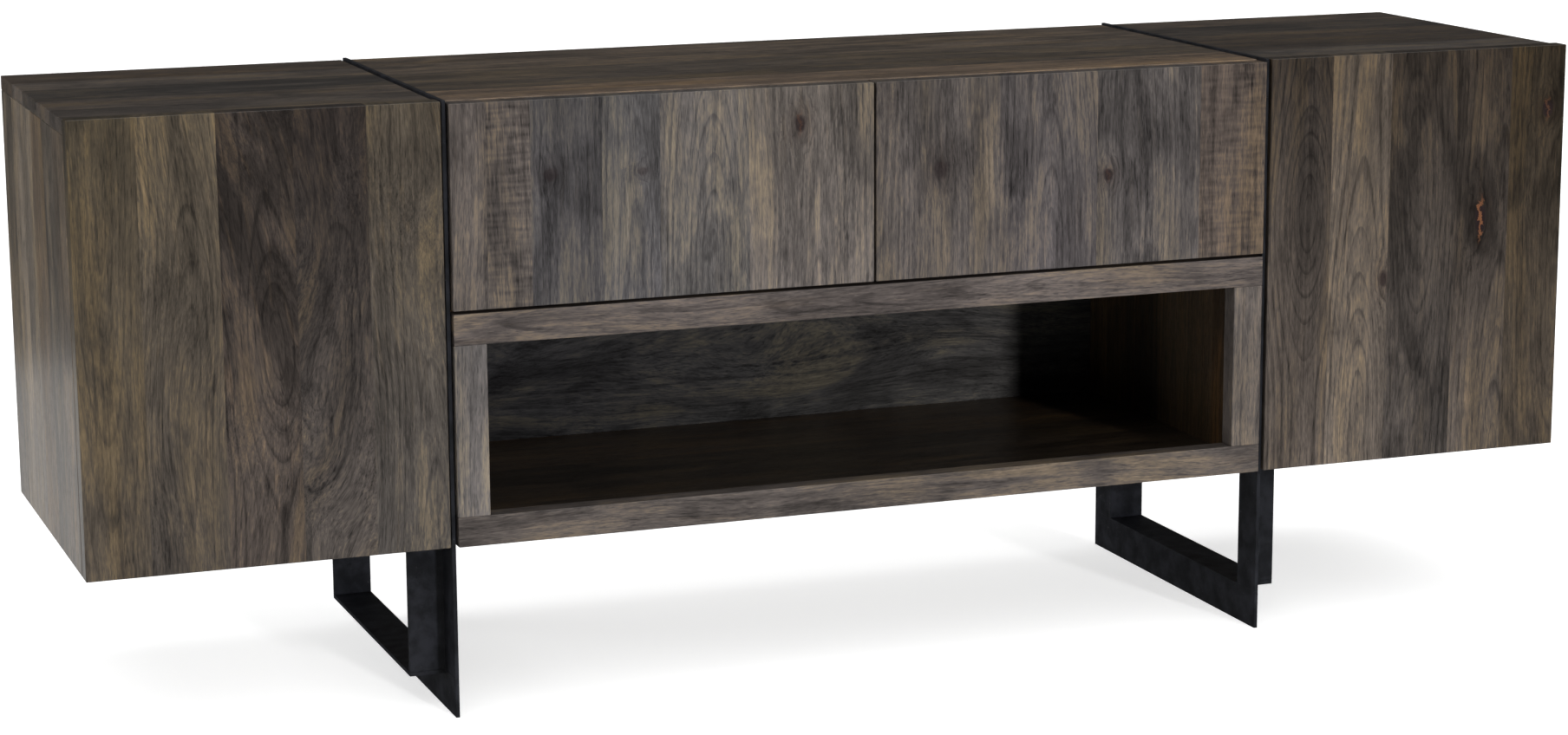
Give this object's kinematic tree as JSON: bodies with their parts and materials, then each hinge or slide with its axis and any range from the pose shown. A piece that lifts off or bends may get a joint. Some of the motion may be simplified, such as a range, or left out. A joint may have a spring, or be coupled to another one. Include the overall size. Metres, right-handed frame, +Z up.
{
  "type": "sideboard buffet",
  "caption": "Long low sideboard of dark stained boards: door cabinets either side of drawers over an open shelf, on black steel angle frames.",
  "frame": {"origin": "on the floor under the middle of the sideboard's box", "axes": "+X along the length towards the right-hand cabinet, +Y from the front to the back, +Z up"},
  "size_m": [1.98, 0.494, 0.7575],
  "materials": {
    "stained_wood": "dark stained solid wood boards, satin lacquer",
    "stained_frame_wood": "stained solid wood, satin lacquer, a little lighter and greyer",
    "plywood": "stained plywood, matt lacquer",
    "drawer_box_wood": "plain lacquered wood",
    "black_steel": "black satin powder coat with slight grain",
    "zinc_steel": "zinc plated",
    "latch_plastic": "dark grey moulded plastic"
  },
  "bodies": {
    "cabinet": {"left_cabinet_top": "stained_wood", "left_cabinet_bottom": "stained_wood", "left_outer_side": "stained_wood", "left_inner_side": "stained_wood", "left_shelf": "stained_wood", "left_stile": "stained_frame_wood", "left_cabinet_back": "plywood", "left_front_upright": "black_steel", "left_rear_upright": "black_steel", "left_foot_bar": "black_steel", "left_frame_top_bar": "black_steel", "right_cabinet_top": "stained_wood", "right_cabinet_bottom": "stained_wood", "right_outer_side": "stained_wood", "right_inner_side": "stained_wood", "right_shelf": "stained_wood", "right_stile": "stained_frame_wood", "right_cabinet_back": "plywood", "right_front_upright": "black_steel", "right_rear_upright": "black_steel", "right_foot_bar": "black_steel", "right_frame_top_bar": "black_steel", "centre_top": "stained_wood", "centre_floor": "stained_wood", "centre_left_side": "stained_wood", "centre_right_side": "stained_wood", "drawer_deck": "stained_wood", "drawer_divider": "stained_wood", "centre_back": "plywood", "top_rail": "stained_frame_wood", "bottom_rail": "stained_frame_wood", "hinge_arms": "zinc_steel", "shelf_pins": "zinc_steel", "connector_bolts": "zinc_steel", "cabinet_runners": "zinc_steel", "latch_housings": "latch_plastic"},
    "left_door": {"left_door": "stained_wood", "left_hinge_cups": "zinc_steel"},
    "left_hinge_link": {"left_hinge_links": "zinc_steel"},
    "left_drawer": {"left_drawer_front": "stained_wood", "left_drawer_sides": "drawer_box_wood", "left_drawer_subfront": "drawer_box_wood", "left_drawer_back": "drawer_box_wood", "left_drawer_bottom": "plywood", "left_drawer_runners": "zinc_steel"},
    "left_runner_middle": {"left_middle_runners": "zinc_steel"},
    "left_door_latch_plunger": {"left_door_plunger": "zinc_steel"},
    "left_drawer_latch_plunger": {"left_drawer_plunger": "zinc_steel"},
    "right_door": {"right_door": "stained_wood", "right_hinge_cups": "zinc_steel"},
    "right_hinge_link": {"right_hinge_links": "zinc_steel"},
    "right_drawer": {"right_drawer_front": "stained_wood", "right_drawer_sides": "drawer_box_wood", "right_drawer_subfront": "drawer_box_wood", "right_drawer_back": "drawer_box_wood", "right_drawer_bottom": "plywood", "right_drawer_runners": "zinc_steel"},
    "right_runner_middle": {"right_middle_runners": "zinc_steel"},
    "right_door_latch_plunger": {"right_door_plunger": "zinc_steel"},
    "right_drawer_latch_plunger": {"right_drawer_plunger": "zinc_steel"}
  },
  "joints": [
    {"name": "left_door_hinge", "type": "hinge", "parent": "cabinet", "child": "left_door", "pos_m": [-0.9835, -0.234, 0.486], "axis": [0, 0, -1], "range_deg": [0, 105]},
    {"name": "left_hinge_link_slide", "type": "slide", "parent": "cabinet", "child": "left_hinge_link", "axis": [0, -1, 0], "range_m": [0, 0.029]},
    {"name": "left_drawer_slide", "type": "slide", "parent": "cabinet", "child": "left_drawer", "axis": [0, -1, 0], "range_m": [0, 0.36]},
    {"name": "left_runner_slide", "type": "slide", "parent": "cabinet", "child": "left_runner_middle", "axis": [0, -1, 0], "range_m": [0, 0.181]},
    {"name": "left_door_latch_press", "type": "slide", "parent": "cabinet", "child": "left_door_latch_plunger", "axis": [0, 1, 0], "range_m": [0, 0.004], "stiffness_N_per_m": 300},
    {"name": "left_drawer_latch_press", "type": "slide", "parent": "cabinet", "child": "left_drawer_latch_plunger", "axis": [0, 1, 0], "range_m": [0, 0.004], "stiffness_N_per_m": 300},
    {"name": "right_door_hinge", "type": "hinge", "parent": "cabinet", "child": "right_door", "pos_m": [0.9835, -0.234, 0.486], "axis": [0, 0, 1], "range_deg": [0, 105]},
    {"name": "right_hinge_link_slide", "type": "slide", "parent": "cabinet", "child": "right_hinge_link", "axis": [0, -1, 0], "range_m": [0, 0.029]},
    {"name": "right_drawer_slide", "type": "slide", "parent": "cabinet", "child": "right_drawer", "axis": [0, -1, 0], "range_m": [0, 0.36]},
    {"name": "right_runner_slide", "type": "slide", "parent": "cabinet", "child": "right_runner_middle", "axis": [0, -1, 0], "range_m": [0, 0.181]},
    {"name": "right_door_latch_press", "type": "slide", "parent": "cabinet", "child": "right_door_latch_plunger", "axis": [0, 1, 0], "range_m": [0, 0.004], "stiffness_N_per_m": 300},
    {"name": "right_drawer_latch_press", "type": "slide", "parent": "cabinet", "child": "right_drawer_latch_plunger", "axis": [0, 1, 0], "range_m": [0, 0.004], "stiffness_N_per_m": 300}
  ],
  "couplings": [
    {"joint": "left_hinge_link_slide", "follows": "left_door_hinge", "m_per_rad": 0.015279},
    {"joint": "left_runner_slide", "follows": "left_drawer_slide", "ratio": 0.5},
    {"joint": "right_hinge_link_slide", "follows": "right_door_hinge", "m_per_rad": 0.015279},
    {"joint": "right_runner_slide", "follows": "right_drawer_slide", "ratio": 0.5}
  ]
}
